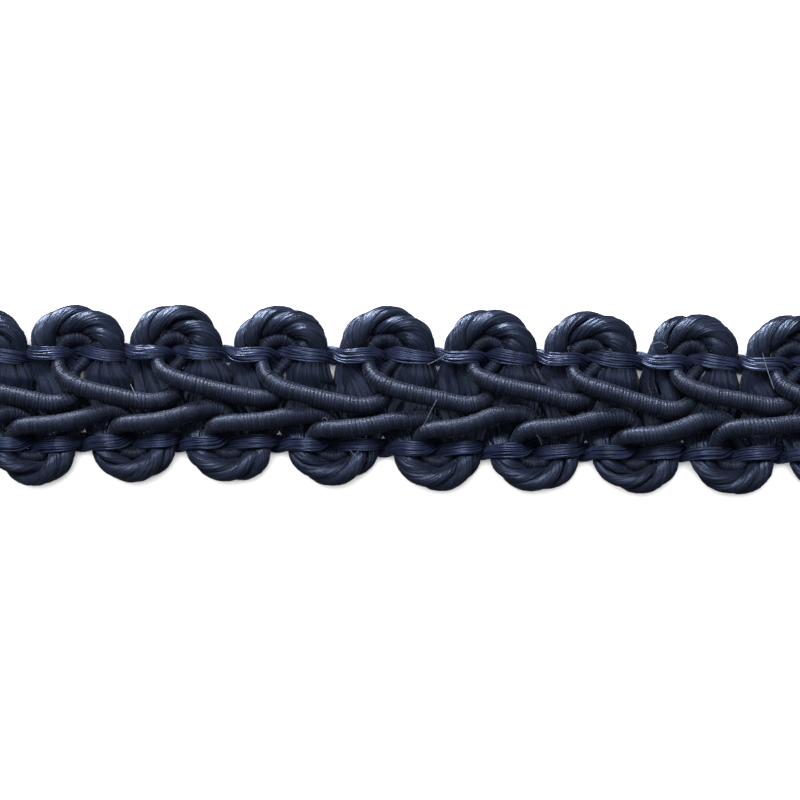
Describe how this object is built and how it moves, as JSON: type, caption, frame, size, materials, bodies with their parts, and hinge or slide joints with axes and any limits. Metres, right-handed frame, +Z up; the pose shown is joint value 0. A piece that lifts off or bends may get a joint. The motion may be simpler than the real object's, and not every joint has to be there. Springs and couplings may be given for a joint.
{
  "type": "gimp braid trim",
  "caption": "Cut length of navy gimp braid: a silky rope swings between two rows of scallops, wrapped cords curl through the eyes and flat warp bundles bind them.",
  "frame": {"origin": "middle of the braid seen from above, on the surface that it lies on", "axes": "+X along the length, +Y across it towards the larger scallops, +Z up from the surface through the face side"},
  "size_m": [0.08, 0.0164, 0.004],
  "materials": {
    "floss": "silky three-ply floss, navy",
    "gimp": "cord closely wrapped in fine lustrous thread, navy",
    "warp": "flat bundle of bright filament, blue navy"
  },
  "bodies": {
    "root": {"floss_weft": "floss", "gimp_upper": "gimp", "gimp_lower": "gimp", "warp_upper_a": "warp", "warp_upper_b": "warp", "warp_lower_a": "warp", "warp_lower_b": "warp"}
  },
  "joints": []
}
